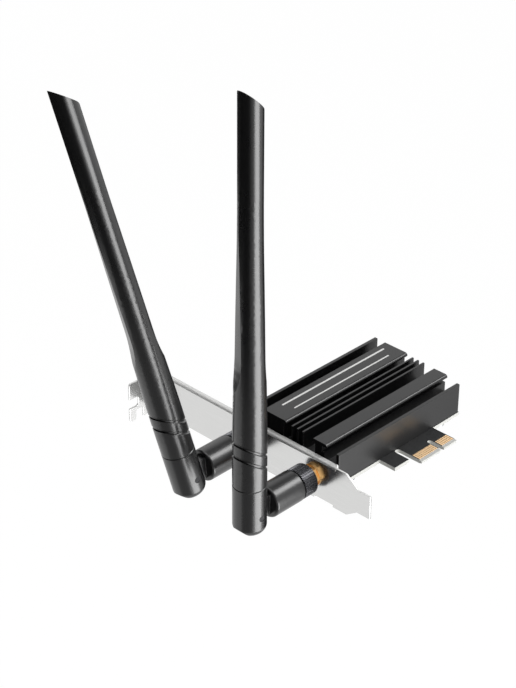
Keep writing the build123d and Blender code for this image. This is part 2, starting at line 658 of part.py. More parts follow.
def barrel():
    """Elbow that turns on the core and carries the hinge tongue."""
    back = PIVOT_REACH - shoulder
    hole = CORE_RADIUS + RUNNING_FIT
    ring = COLLAR_RADIUS + RUNNING_FIT
    end = core_end + END_FLOAT
    body = turned(
        (-barrel_start, hole), (-barrel_start, FOOT_RADIUS), (-back, FOOT_RADIUS), (-back, 0), (-end, 0),
        (-end, hole), (-collar_end - END_FLOAT, hole), (-collar_end - END_FLOAT, ring),
        (-collar_start + END_FLOAT, ring), (-collar_start + END_FLOAT, hole))
    rims = body.edges().filter_by(GeomType.CIRCLE).group_by(SortBy.RADIUS)[-1]
    body = fillet(rims, BARREL_ROUND)
    side = span(-PIVOT_REACH, -back + BARREL_ROUND, -HINGE_TONGUE_HALF, HINGE_TONGUE_HALF)
    side += Pos(-PIVOT_REACH, 0) * Circle(HINGE_TONGUE_HALF)
    side -= Pos(-PIVOT_REACH, 0) * Circle(HINGE_PIN_RADIUS + RUNNING_FIT)
    tongue = extrude(Plane.XZ * side, HINGE_TONGUE / 2, both=True)
    return body + tongue


def hinge_pin():
    """Pin through both cheeks and the tongue, its ends just below the surface."""
    return Rot(X=90) * Cylinder(HINGE_PIN_RADIUS, 2 * (FOOT_RADIUS - HINGE_PIN_SET_BACK))


def antenna_base():
    """Fork with a heel rounded about the hinge, slotted so that the tongue can swing a right angle."""
    c = PARTING_CHAMFER
    r = FOOT_RADIUS
    h = HEEL_RADIUS
    spigot_top = PARTING + SPIGOT_HEIGHT
    half = make_face(Polyline((0, -h), (r, -h), (r, PARTING - c), (r - c, PARTING), (SPIGOT_RADIUS, PARTING),
                              (SPIGOT_RADIUS, spigot_top), (0, spigot_top), close=True))
    body = revolve(Plane.XZ * half, Axis.Z)
    body -= block(-h, h, -h, h, -h, 0) - Rot(X=90) * Cylinder(h, 4 * h)
    rim = [edge for edge in body.edges() if edge.center().Z < 0 and edge.geom_type != GeomType.LINE]
    body = fillet(rim, HEEL_ROUND)
    swing = HINGE_TONGUE_HALF + HINGE_SIDE_CLEARANCE
    slot = Circle(swing) + span(0, h, -h, swing) + span(-swing, 0, -h, 0)
    body -= extrude(Plane.XZ * slot, slot_half, both=True)
    body -= Rot(X=90) * Cylinder(HINGE_PIN_RADIUS + PIN_SEAT_CLEARANCE, 2 * r)
    t = STRIP_THICKNESS / 2 + STRIP_CLEARANCE
    w = STRIP_WIDTH / 2 + STRIP_CLEARANCE
    return body - block(-t, t, -w, w, PARTING + STRIP_SEAT, spigot_top)


def groove(height):
    """Cutter for one slanted groove round the sleeve's foot."""
    angle = degrees(atan(GROOVE_SLOPE))
    size = 4 * FOOT_RADIUS
    slab = Pos(0, 0, height) * Rot(Y=angle) * Box(size, size, GROOVE_WIDTH)
    return slab - Pos(0, 0, height) * Cylinder(FOOT_RADIUS - GROOVE_DEPTH, size)


def antenna_sleeve():
    """Tapered sleeve: slanted foot grooves, two flats that run out and a slanted, rounded tip."""
    r = FOOT_RADIUS
    c = PARTING_CHAMFER
    high = TIP_HEIGHT + TIP_SLOPE * r
    step = PARTING + SPIGOT_HEIGHT + SPIGOT_CLEARANCE
    mouth = SPIGOT_RADIUS + SPIGOT_CLEARANCE
    taper = Spline((r, TAPER_START), (TIP_RADIUS, TAPER_END), tangents=((0, 1), (0, 1)))
    lower = Polyline((mouth, PARTING), (r - c, PARTING), (r, PARTING + c), (r, TAPER_START))
    upper = Polyline((TIP_RADIUS, TAPER_END), (TIP_RADIUS, high), (0, high), (0, SLEEVE_BORE_TOP),
                     (SLEEVE_BORE, SLEEVE_BORE_TOP), (SLEEVE_BORE, step), (mouth, step), (mouth, PARTING))
    sleeve = revolve(Plane.XZ * make_face([lower, taper, upper]), Axis.Z)
    for height in GROOVE_HEIGHTS:
        sleeve -= groove(height)
    run_out = JernArc((FLAT_HALF, FLAT_FOOT), (0, -1), FLAT_RUN_OUT, FLAT_RUN_OUT_ANGLE)
    low = run_out @ 1
    sides = Polyline((low.X, low.Y), (2 * r, low.Y), (2 * r, TAPER_END), (FLAT_HALF, TAPER_END),
                     (FLAT_HALF, FLAT_FOOT))
    cutter = extrude(Plane.XZ * make_face([run_out, sides]), 2 * r, both=True)
    for side in (0, 180):
        sleeve -= Rot(Z=side - FLAT_TURN) * cutter
    corner = (TIP_SIDE, TIP_HEIGHT - TIP_SLOPE * TIP_SIDE)
    peak = (-2 * r, TIP_HEIGHT + TIP_SLOPE * 2 * r)
    under = make_face(Polyline((-2 * r, TAPER_END), (TIP_SIDE, TAPER_END), corner, peak, close=True))
    under = fillet(near(under, corner), TIP_ROUND)
    above = span(-2 * r, 2 * r, TAPER_END, peak[1]) - under
    return sleeve - extrude(Plane.XZ * above, 2 * r, both=True)


def radiator():
    """Antenna strip that stands in the base's slot inside the sleeve."""
    middle = PARTING + STRIP_SEAT + STRIP_LENGTH / 2
    return Pos(0, 0, middle) * Box(STRIP_THICKNESS, STRIP_WIDTH, STRIP_LENGTH)


def save(part, name):
    """Writes one node's solids."""
    export_step(part, os.path.join("parts", name + ".step"))


os.makedirs("parts", exist_ok=True)
save(circuit_board(), "circuit_board")
save(edge_contacts(), "edge_contacts")
save(bracket(), "bracket")
save(heat_sink(), "heat_sink")
save(heat_sink_screws(), "heat_sink_screws")
save(wireless_module(), "wireless_module")
save(module_socket(), "module_socket")
save(module_standoff(), "module_standoff")
save(module_screw(), "module_screw")
save(radio_chip(), "radio_chip")
save(radio_shield(), "radio_shield")
save(thermal_pad(), "thermal_pad")
save(coax_receptacles(), "coax_receptacles")

jack_places = [Pos(face_x, y, jack_z) for y in jack_ys]
save(Compound([place * jack_nut() for place in jack_places]), "jack_nuts")
save(Compound([place * jack_washer() for place in jack_places]), "jack_washers")

stances = ((SWIVEL_1, LEAN_1), (SWIVEL_2, LEAN_2))
for index, (swivel, lean) in enumerate(stances):
    number = str(index + 1)
    jack = jack_places[index]
    elbow = jack * Rot(X=-swivel)
    hinge = elbow * Pos(-PIVOT_REACH, 0, 0) * Rot(Y=-lean)
    save(coax_lead(index), "coax_lead_" + number)
    save(jack * jack_body(), "jack_body_" + number)
    save(jack * jack_insulator(), "jack_insulator_" + number)
    save(jack * jack_pin(), "jack_pin_" + number)
    save(jack * coupling_nut(), "coupling_nut_" + number)
    save(jack * plug_core(), "plug_core_" + number)
    save(elbow * barrel(), "barrel_" + number)
    save(hinge * hinge_pin(), "hinge_pin_" + number)
    save(hinge * antenna_base(), "antenna_base_" + number)
    save(hinge * antenna_sleeve(), "antenna_sleeve_" + number)
    save(hinge * radiator(), "radiator_" + number)
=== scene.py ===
# %% [markdown]
# # A wireless network card with two folding antennas
# The card is a small printed board under a black extruded heat sink, held behind a plated steel
# slot bracket. Two black antennas stand outside the bracket on joints that fold and swivel.
# The CAD solids arrive as a fixed frame. This lesson gives them soft edges, threads, finishes and light.

# %% Load the frame
import bpy
import json
from math import atan, cos, pi, radians
from mathutils import Matrix, Vector

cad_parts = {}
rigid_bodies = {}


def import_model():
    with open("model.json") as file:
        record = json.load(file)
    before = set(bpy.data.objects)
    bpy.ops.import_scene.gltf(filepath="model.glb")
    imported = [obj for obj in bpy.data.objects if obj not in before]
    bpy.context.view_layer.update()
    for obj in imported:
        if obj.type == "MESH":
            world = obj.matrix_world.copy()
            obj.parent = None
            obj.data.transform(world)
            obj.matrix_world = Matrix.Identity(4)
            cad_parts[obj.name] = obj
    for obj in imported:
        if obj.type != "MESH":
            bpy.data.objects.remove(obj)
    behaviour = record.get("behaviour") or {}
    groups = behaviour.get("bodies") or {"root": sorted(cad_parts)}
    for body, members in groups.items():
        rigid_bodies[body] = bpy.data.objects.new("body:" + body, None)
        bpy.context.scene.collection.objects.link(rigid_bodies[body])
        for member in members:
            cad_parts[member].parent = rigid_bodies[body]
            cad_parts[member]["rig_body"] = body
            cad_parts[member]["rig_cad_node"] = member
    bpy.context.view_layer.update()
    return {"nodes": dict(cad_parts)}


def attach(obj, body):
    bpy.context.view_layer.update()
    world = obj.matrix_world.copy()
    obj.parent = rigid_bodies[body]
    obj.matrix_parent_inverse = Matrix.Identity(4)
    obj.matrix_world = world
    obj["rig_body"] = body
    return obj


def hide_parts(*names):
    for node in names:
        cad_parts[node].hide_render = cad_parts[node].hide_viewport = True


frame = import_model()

MM = 0.001
bpy.context.scene.view_settings.view_transform = "Standard"

# %% [markdown]
# ## Colours and nodes
# Colours are written as the hex values that a screen shows, so one function turns them to the
# linear numbers that a shader works with. One more function adds any node, with its settings and
# with either a plain value or a link on each socket, which keeps every material short.

# %% Colour and node helpers
def colour(code):
    """A screen colour such as "d8a040" as a linear value."""
    shown = [int(code[i:i + 2], 16) / 255 for i in (0, 2, 4)]
    return [c / 12.92 if c <= 0.04045 else ((c + 0.055) / 1.055) ** 2.4 for c in shown] + [1.0]


def add(tree, kind, inputs, **settings):
    """Adds one node, sets it up, and fills its sockets with values or links."""
    node = tree.nodes.new(kind)
    for name, value in settings.items():
        setattr(node, name, value)
    for name, value in inputs.items():
        if isinstance(value, bpy.types.NodeSocket):
            tree.links.new(value, node.inputs[name])
        else:
            node.inputs[name].default_value = value
    return node


def per(size):
    """Texture scale for a pattern that repeats about every so many millimetres."""
    return 1 / (size * MM)


def finish(name, **sockets):
    """A new material: its node tree, its main shader and its object coordinates."""
    material = bpy.data.materials.new(name)
    material.use_nodes = True
    tree = material.node_tree
    shader = tree.nodes["Principled BSDF"]
    for socket, value in sockets.items():
        shader.inputs[socket.replace("_", " ")].default_value = value
    place = add(tree, "ShaderNodeTexCoord", {}).outputs["Object"]
    return material, tree, shader, place


print("black plastic reads as", [round(c, 4) for c in colour("101011")])

# %% [markdown]
# ## Moulded ABS
# The antennas are injection moulded in black ABS. A spark-eroded mould leaves a fine even grit,
# so the plastic shows long soft highlights and never a sharp mirror image. Real grit is about
# 0.05 mm and would vanish at this distance, so it is drawn at 0.22 mm. A slow cloud in the
# colour and roughness stands for the uneven flow of the melt.

# %% Satin black ABS
FLOW, GRIT = 9, 0.22
abs_black, tree, shader, place = finish("satin black ABS", IOR=1.53)
shader.inputs["Specular IOR Level"].default_value = 0.70
flow = add(tree, "ShaderNodeTexNoise", {"Vector": place, "Scale": per(FLOW), "Detail": 3.0})
tint = add(tree, "ShaderNodeMix", {"Factor": flow.outputs["Fac"], "A": colour("0b0b0c"),
                                   "B": colour("101011")}, data_type="RGBA")
grit = add(tree, "ShaderNodeTexNoise", {"Vector": place, "Scale": per(GRIT), "Detail": 2.0})
gloss = add(tree, "ShaderNodeMapRange", {"Value": flow.outputs["Fac"], "To Min": 0.25, "To Max": 0.31})
relief = add(tree, "ShaderNodeBump", {"Height": grit.outputs["Fac"], "Strength": 0.04,
                                      "Distance": 0.03 * MM})
tree.links.new(tint.outputs["Result"], shader.inputs["Base Color"])
tree.links.new(gloss.outputs["Result"], shader.inputs["Roughness"])
tree.links.new(relief.outputs["Normal"], shader.inputs["Normal"])
print(abs_black.name)

# %% [markdown]
# ## Black anodised aluminium
# The heat sink is one extrusion, so the die draws fine straight lines along its length. Dyed
# anodising then turns the skin into a hard black oxide, a dielectric that shines grey at low
# angles. The lines come from a noise squeezed across the card and stretched along it. Real die
# lines are about 0.1 mm apart, and 0.35 mm is drawn so that they can be seen. The ends that face
# along the extrusion carry painted shade: they lose almost all shine and are made rough, so they render
# dark as if in shadow.

# %% Anodised skin with die lines, and painted shade on the ends
DIE_LINE, DIE_DRAW, DYE_CLOUD, SHADED_END_FACING = 0.35, 0.015, 14, 0.8
anodised, tree, shader, place = finish("black anodised aluminium", IOR=1.62)
along = add(tree, "ShaderNodeMapping", {"Vector": place, "Scale": (DIE_DRAW, 1.0, 1.0)})
lines = add(tree, "ShaderNodeTexNoise", {"Vector": along.outputs["Vector"], "Scale": per(DIE_LINE),
                                         "Detail": 3.0})
cloud = add(tree, "ShaderNodeTexNoise", {"Vector": place, "Scale": per(DYE_CLOUD), "Detail": 2.0})
tint = add(tree, "ShaderNodeMix", {"Factor": lines.outputs["Fac"], "A": colour("090909"),
                                   "B": colour("111112")}, data_type="RGBA")
relief = add(tree, "ShaderNodeBump", {"Height": lines.outputs["Fac"], "Strength": 0.12,
                                      "Distance": 0.03 * MM})
# Painted shade: faces that look along the extrusion get almost no shine and a high roughness, so the ends
# render dark as if in shadow.
endwise = add(tree, "ShaderNodeSeparateXYZ",
              {"Vector": add(tree, "ShaderNodeTexCoord", {}).outputs["Normal"]}).outputs["X"]
lengthwise = add(tree, "ShaderNodeMath", {0: endwise}, operation="ABSOLUTE")
sawn_laminate_and_shaded_ends = add(tree, "ShaderNodeMath", {0: lengthwise.outputs[0], 1: SHADED_END_FACING}, operation="GREATER_THAN")
smooth = add(tree, "ShaderNodeMapRange", {"Value": cloud.outputs["Fac"], "To Min": 0.26, "To Max": 0.36})
gloss = add(tree, "ShaderNodeMix", {"Factor": sawn_laminate_and_shaded_ends.outputs[0], "A": smooth.outputs["Result"], "B": 0.8})
shine_with_painted_end_shade = add(tree, "ShaderNodeMapRange", {"Value": sawn_laminate_and_shaded_ends.outputs[0], "To Min": 0.42, "To Max": 0.02})
tree.links.new(tint.outputs["Result"], shader.inputs["Base Color"])
tree.links.new(gloss.outputs["Result"], shader.inputs["Roughness"])
tree.links.new(shine_with_painted_end_shade.outputs["Result"], shader.inputs["Specular IOR Level"])
tree.links.new(relief.outputs["Normal"], shader.inputs["Normal"])
print(anodised.name)

# %% [markdown]
# ## Plated steel sheet
# The bracket is cold-rolled steel with a bright nickel plating. The mill rolls leave very faint
# streaks along the sheet, under the plating, so its reflections are clear but a little drawn out.
# The upper flange was stretched over the bending tool, which left its plating matt. It is found by
# its upward normal.

# %% Nickel-plated steel
STREAK, ROLL_DRAW = 0.5, 0.03
nickel, tree, shader, place = finish("nickel-plated steel", Metallic=1.0)
along = add(tree, "ShaderNodeMapping", {"Vector": place, "Scale": (1.0, ROLL_DRAW, 1.0)})
rolled = add(tree, "ShaderNodeTexNoise", {"Vector": along.outputs["Vector"], "Scale": per(STREAK),
                                          "Detail": 4.0})
tint = add(tree, "ShaderNodeMix", {"Factor": rolled.outputs["Fac"], "A": colour("d2d2d1"),
                                   "B": colour("dfdfde")}, data_type="RGBA")
smooth = add(tree, "ShaderNodeMapRange", {"Value": rolled.outputs["Fac"], "To Min": 0.17, "To Max": 0.27})
upward = add(tree, "ShaderNodeSeparateXYZ",
             {"Vector": add(tree, "ShaderNodeTexCoord", {}).outputs["Normal"]}).outputs["Z"]
bent = add(tree, "ShaderNodeMapRange", {"Value": upward, "From Min": 0.2, "From Max": 0.8})
gloss = add(tree, "ShaderNodeMix", {"Factor": bent.outputs["Result"], "A": smooth.outputs["Result"],
                                    "B": 0.7})
relief = add(tree, "ShaderNodeBump", {"Height": rolled.outputs["Fac"], "Strength": 0.05,
                                      "Distance": 0.02 * MM})
tree.links.new(tint.outputs["Result"], shader.inputs["Base Color"])
tree.links.new(gloss.outputs["Result"], shader.inputs["Roughness"])
tree.links.new(relief.outputs["Normal"], shader.inputs["Normal"])
print(nickel.name)

# %% [markdown]
# ## Printed board
# A glass-fibre board wears a black solder mask on its two faces, and shows pale sawn laminate on
# its edges and on the bevel of the connector's tip. The face normal tells the two apart: the
# mask lies only where the surface looks straight up or down. The glass cloth shows through as a
# faint weave. The wave texture takes the sine of twenty times its coordinate, so 0.6 mm is the length
# of one radian, and the weave repeats every 3.8 mm, which is coarser than real cloth.

# %% Solder mask over laminate
WEAVE_RADIAN, WAVE_FACTOR, SAW_MARK, MASK_FACING = 0.6, 20, 0.4, 0.985
mask_board, tree, shader, place = finish("black solder mask on glass-fibre laminate", IOR=1.55)
facing = add(tree, "ShaderNodeSeparateXYZ",
             {"Vector": add(tree, "ShaderNodeTexCoord", {}).outputs["Normal"]}).outputs["Z"]
upright = add(tree, "ShaderNodeMath", {0: facing}, operation="ABSOLUTE")
masked = add(tree, "ShaderNodeMath", {0: upright.outputs[0], 1: MASK_FACING}, operation="GREATER_THAN")
warp = add(tree, "ShaderNodeTexWave", {"Vector": place, "Scale": per(WEAVE_RADIAN) / WAVE_FACTOR,
                                        "Distortion": 0.6},
           bands_direction="X")
weft = add(tree, "ShaderNodeTexWave", {"Vector": place, "Scale": per(WEAVE_RADIAN) / WAVE_FACTOR,
                                        "Distortion": 0.6},
           bands_direction="Y")
weave = add(tree, "ShaderNodeMath", {0: warp.outputs["Fac"], 1: weft.outputs["Fac"]}, operation="MULTIPLY")
saw = add(tree, "ShaderNodeTexNoise", {"Vector": place, "Scale": per(SAW_MARK), "Detail": 3.0})
mask = add(tree, "ShaderNodeMix", {"Factor": weave.outputs[0], "A": colour("161718"),
                                   "B": colour("1c1d1f")}, data_type="RGBA")
sawn_laminate_and_shaded_ends = add(tree, "ShaderNodeMix", {"Factor": saw.outputs["Fac"], "A": colour("b2b2ae"),
                                   "B": colour("cdcdc9")}, data_type="RGBA")
tint = add(tree, "ShaderNodeMix", {"Factor": masked.outputs[0], "A": sawn_laminate_and_shaded_ends.outputs["Result"],
                                   "B": mask.outputs["Result"]}, data_type="RGBA")
gloss = add(tree, "ShaderNodeMapRange", {"Value": masked.outputs[0], "To Min": 0.75, "To Max": 0.34})
relief = add(tree, "ShaderNodeBump", {"Height": weave.outputs[0], "Strength": 0.08, "Distance": 0.02 * MM})
tree.links.new(tint.outputs["Result"], shader.inputs["Base Color"])
tree.links.new(gloss.outputs["Result"], shader.inputs["Roughness"])
tree.links.new(relief.outputs["Normal"], shader.inputs["Normal"])
print(mask_board.name)

# %% [markdown]
# ## Metals and small moulded parts
# The other pieces are small: gold contacts, brass jacks, zinc screws, tin-plated cans, and moulded
# or soft inner parts. They share one recipe, two near tones of one material mixed by a fine noise
# that also stirs the roughness and a slight relief. Each entry gives the tones, the roughness, the
# grain in millimetres and whether the material is a metal.

# %% One recipe for the small pieces
def fine_grained(name, dark, light, rough, grain, metal, depth=0.05):
    """Two near tones of one material, mixed by a noise of a given grain."""
    material, tree, shader, place = finish(name, Metallic=metal)
    noise = add(tree, "ShaderNodeTexNoise", {"Vector": place, "Scale": per(grain), "Detail": 3.0})
    tint = add(tree, "ShaderNodeMix", {"Factor": noise.outputs["Fac"], "A": colour(dark),
                                       "B": colour(light)}, data_type="RGBA")
    gloss = add(tree, "ShaderNodeMapRange", {"Value": noise.outputs["Fac"], "To Min": rough - 0.05,
                                             "To Max": rough + 0.06})
    relief = add(tree, "ShaderNodeBump", {"Height": noise.outputs["Fac"], "Strength": depth,
                                          "Distance": 0.03 * MM})
    tree.links.new(tint.outputs["Result"], shader.inputs["Base Color"])
    tree.links.new(gloss.outputs["Result"], shader.inputs["Roughness"])
    tree.links.new(relief.outputs["Normal"], shader.inputs["Normal"])
    return material


finishes = {
    "board_mask": mask_board,
    "black_aluminium": anodised,
    "bracket_steel": nickel,
    "antenna_plastic": abs_black,
    "contact_gold": fine_grained("hard gold on copper", "ffd8a4", "ffe6c2", 0.62, 0.4, 1.0),
    "jack_gold": fine_grained("gold-plated brass", "ffc074", "ffd798", 0.34, 0.5, 1.0),
    "screw_steel": fine_grained("zinc-plated steel", "a9adb2", "c4c7ca", 0.34, 0.5, 1.0),
    "shield_steel": fine_grained("tin-plated steel", "b7b8b8", "cccdcc", 0.30, 0.8, 1.0),
    "pin_steel": fine_grained("black-oxide steel", "232324", "2e2e30", 0.38, 0.4, 0.6),
    "nut_black": fine_grained("black chromed brass", "434345", "525255", 0.28, 0.5, 1.0, 0.08),
    "plain_brass": fine_grained("turned brass", "b78e45", "cfa75c", 0.30, 0.4, 1.0),
    "module_board": fine_grained("green solder mask", "17332a", "1f4335", 0.36, 0.7, 0.0),
    "strip_board": fine_grained("bare glass-fibre laminate", "8f8a62", "a8a27a", 0.55, 0.6, 0.0),
    "black_housing": fine_grained("black liquid-crystal polymer", "161616", "1f1f20", 0.50, 0.4, 0.0),
    "pad_silicone": fine_grained("grey silicone pad", "7d858c", "98a0a6", 0.72, 0.6, 0.0, 0.15),
    "lead_jacket": fine_grained("black fluoropolymer jacket", "141415", "1d1d1e", 0.32, 0.5, 0.0),
    "white_insulator": fine_grained("white fluoropolymer", "e6e3da", "f2efe8", 0.42, 0.5, 0.0),
}
for node in frame["nodes"].values():
    slot = node.material_slots[0]
    slot.material = finishes[slot.material.name]
print("finishes:", len(finishes))

# %% [markdown]
# ## Soft edges
# No real edge is perfectly sharp. An extrusion's corners, a stamped sheet and a mould's edges all
# have a tiny round that catches the light as a thin line, and a plain solid lacks it. A copy of
# the solid is merged into one skin and its flat faces are joined again. On the sink, the bracket,
# the barrels and the nuts, a narrow bevel then runs along every edge that turns by more than 28
# degrees. The copy rides on the solid's own body and stands in for it.

# %% Copy a solid and round its edges
MERGE, FLAT, CRISP, REAL_EDGE = 0.002, 0.05, 34, 28


def deselect():
    """Leaves edit mode, with nothing selected."""
    if bpy.context.mode != "OBJECT":
        bpy.ops.object.mode_set(mode="OBJECT")
    bpy.ops.object.select_all(action="DESELECT")


def skin_of(node, name):
    """A merged copy of one CAD solid, free of its frame."""
    deselect()
    solid = frame["nodes"][node]
    solid.select_set(True)
    bpy.context.view_layer.objects.active = solid
    bpy.ops.object.duplicate()
    piece = bpy.context.view_layer.objects.active
    bpy.ops.object.parent_clear(type="CLEAR_KEEP_TRANSFORM")
    piece.name = piece.data.name = name
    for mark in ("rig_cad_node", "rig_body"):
        if mark in piece:
            del piece[mark]
    bpy.ops.mesh.customdata_custom_splitnormals_clear()
    bpy.ops.object.mode_set(mode="EDIT")
    bpy.ops.mesh.select_all(action="SELECT")
    bpy.ops.mesh.remove_doubles(threshold=MERGE * MM)
    bpy.ops.mesh.dissolve_limited(angle_limit=radians(FLAT))
    bpy.ops.object.mode_set(mode="OBJECT")
    return piece


def even_out(piece):
    """Smooth shading that leaves flat faces flat and real edges crisp."""
    bpy.ops.object.shade_smooth_by_angle(angle=radians(CRISP))
    level = piece.modifiers.new("flat faces stay flat", "WEIGHTED_NORMAL")
    level.keep_sharp = True
    bpy.ops.object.modifier_apply(modifier=level.name)


def soften(piece, width):
    """A narrow round along every real edge, then smooth shading between them."""
    bevel = piece.modifiers.new("edge round", "BEVEL")
    bevel.width = width * MM
    bevel.segments = 2
    bevel.limit_method = "ANGLE"
    bevel.angle_limit = radians(REAL_EDGE)
    bevel.use_clamp_overlap = False
    bpy.ops.object.modifier_apply(modifier=bevel.name)
    even_out(piece)


def seat(piece, body, slot, *nodes):
    """Ties a finished piece to its body and hides the solids it stands for. The slot is not used."""
    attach(piece, body)
    if nodes:
        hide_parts(*nodes)
    print(piece.name, len(piece.data.polygons), "faces on", body)


# %% [markdown]
# ## Heat sink and bracket
# The sink's edges are broken by tumbling, about 0.15 mm. The bracket is stamped, so its rim is
# rolled a little on the die side. The board is routed and stays sharp, so its solid is kept.

# %% The card's large pieces
for node, name, width, slot in (("heat_sink", "sink_extrusion", 0.14, "black_aluminium"),
                                ("bracket", "bracket_sheet", 0.12, "bracket_steel")):
    piece = skin_of(node, name)
    soften(piece, width)
    seat(piece, "card", slot, node)

# %% [markdown]
# ## Antennas
# Each antenna is a moulded fork and a moulded sleeve, and the swivelling barrel between nut and
# hinge is moulded as well. The fork's heel is well rounded at its rim, so that it swings past the
# barrel without catching, and the two slanted grooves of the sleeve have a round floor. A cylinder
# with a rounded rim trims each heel, and a slanted ring cuts each groove. Both are placed by the
# hinge's own position and lean. Fork and sleeve get these cuts and no bevel.

# %% Cutters for heels and grooves
FOOT, HEEL, HEEL_ROUND, HEEL_SPARE, HEEL_TALL = 6.55, 8.2, 3.6, 0.02, 40.0
GROOVES, SLOPE, GROOVE_OUT, GROOVE_RADIUS = (23.0, 28.5), atan(0.6), 0.2, 0.75
CUT_MERGE, ROUND_SIDES = 0.005, 96
JACK_YS, JACK_Z, HINGE_X = {"1": 57.9, "2": 23.6}, 1.28, -84.2
LEANS = {"1": Matrix.Rotation(radians(-7.2), 4, "X") @ Matrix.Rotation(radians(-12.0), 4, "Y"),
         "2": Matrix.Identity(4)}
HINGES = {number: Vector((HINGE_X, y, JACK_Z)) for number, y in JACK_YS.items()}


def cut(piece, cutter, place, operation="DIFFERENCE"):
    """Cuts a piece with a helper at a given place, then drops the helper."""
    cutter.data.transform(place)
    carve = piece.modifiers.new("cut", "BOOLEAN")
    carve.object, carve.operation, carve.solver = cutter, operation, "EXACT"
    deselect()
    piece.select_set(True)
    bpy.context.view_layer.objects.active = piece
    bpy.ops.object.modifier_apply(modifier=carve.name)
    bpy.data.objects.remove(cutter)
    bpy.ops.mesh.customdata_custom_splitnormals_clear()
    bpy.ops.object.mode_set(mode="EDIT")
    bpy.ops.mesh.select_all(action="SELECT")
    bpy.ops.mesh.remove_doubles(threshold=CUT_MERGE * MM)
    bpy.ops.mesh.dissolve_degenerate(threshold=CUT_MERGE * MM)
    bpy.ops.object.mode_set(mode="OBJECT")
    even_out(piece)


def heel_helper():
    """A tall cylinder with a rounded lower rim."""
    deselect()
    bpy.ops.mesh.primitive_cylinder_add(vertices=ROUND_SIDES, radius=(FOOT + HEEL_SPARE) * MM,
                                        depth=HEEL_TALL * MM)
    helper = bpy.context.view_layer.objects.active
    bpy.ops.object.mode_set(mode="EDIT")
    bpy.ops.mesh.select_mode(type="EDGE")
    bpy.ops.mesh.select_all(action="DESELECT")
    bpy.ops.object.mode_set(mode="OBJECT")
    for edge in helper.data.edges:
        edge.select = all(helper.data.vertices[v].co.z < 0 for v in edge.vertices)
    bpy.ops.object.mode_set(mode="EDIT")
    bpy.ops.mesh.bevel(offset=HEEL_ROUND * MM, segments=10)
    bpy.ops.object.mode_set(mode="OBJECT")
    helper.data.transform(Matrix.Translation((0, 0, (HEEL_TALL / 2 - HEEL) * MM)))
    return helper


def groove_helper():
    """A ring that follows a slanted cut round the foot."""
    deselect()
    bpy.ops.mesh.primitive_torus_add(major_segments=ROUND_SIDES, minor_segments=16,
                                     major_radius=(FOOT + GROOVE_OUT) * MM, minor_radius=GROOVE_RADIUS * MM)
    ring = bpy.context.view_layer.objects.active
    ring.data.transform(Matrix.Rotation(SLOPE, 4, "Y") @ Matrix.Diagonal((1 / cos(SLOPE), 1, 1, 1)))
    return ring


# %% [markdown]
# Both antennas come from one mould. The upright one is shaped first, and its copies are carried
# over to the other hinge. The barrels only need their edges rounded.

# %% Moulded antenna pieces
BARREL_ROUND = 0.12


def copy_of(piece, name, move):
    """A finished piece once more, with its own mesh, at another place."""
    deselect()
    piece.select_set(True)
    bpy.context.view_layer.objects.active = piece
    bpy.ops.object.duplicate()
    twin = bpy.context.view_layer.objects.active
    twin.name = twin.data.name = name
    twin.data.transform(move)
    return twin


home = {number: Matrix.Translation(HINGES[number] * MM) @ lean for number, lean in LEANS.items()}
fork = skin_of("antenna_base_2", "fork_shell_2")
cut(fork, heel_helper(), home["2"], "INTERSECT")
sleeve = skin_of("antenna_sleeve_2", "sleeve_shell_2")
for height in GROOVES:
    cut(sleeve, groove_helper(), home["2"] @ Matrix.Translation((0, 0, height * MM)))
over = home["1"] @ home["2"].inverted()
seat(copy_of(fork, "fork_shell_1", over), "antenna_1", "antenna_plastic", "antenna_base_1")
seat(copy_of(sleeve, "sleeve_shell_1", over), "antenna_1", "antenna_plastic", "antenna_sleeve_1")
seat(fork, "antenna_2", "antenna_plastic", "antenna_base_2")
seat(sleeve, "antenna_2", "antenna_plastic", "antenna_sleeve_2")
for number in ("1", "2"):
    barrel = skin_of("barrel_" + number, "barrel_shell_" + number)
    soften(barrel, BARREL_ROUND)
    seat(barrel, "elbow_" + number, "antenna_plastic", "barrel_" + number)

# %% [markdown]
# ## Coupling nuts
# The nut that holds each antenna has straight knurling for the fingers. The crests are cut, not
# rolled, so they keep a crisp edge and get only a very small round.

# %% Knurled nuts
KNURL_ROUND = 0.05
for number in ("1", "2"):
    piece = skin_of("coupling_nut_" + number, "knurled_nut_" + number)
    soften(piece, KNURL_ROUND)
    seat(piece, "nut_" + number, "nut_black", "coupling_nut_" + number)

# %% [markdown]
# ## Threaded jacks
# The jack is turned brass with a fine outside thread, 36 turns to the inch, of which a little shows
# between the fixing nut and the coupling nut. Its solid is a plain cylinder at the thread's
# crests. Here that stretch is scaled down to the thread's root, and one triangular ridge is wound
# round it by a Screw modifier. A painted bump would give no broken outline, so real ridges are used.
# A triangle is one and a half radii tall, and slightly less is counted, so its base sinks in.

# %% Wind the thread
JACK_RADIUS, CREST, ROOT = 3.175, 3.17, 2.84
PITCH, TURNS, STEPS, RIDGE_RADII = 0.7056, 6, 40, 1.35
THREAD_START, THREAD_END = -57.2, -52.6


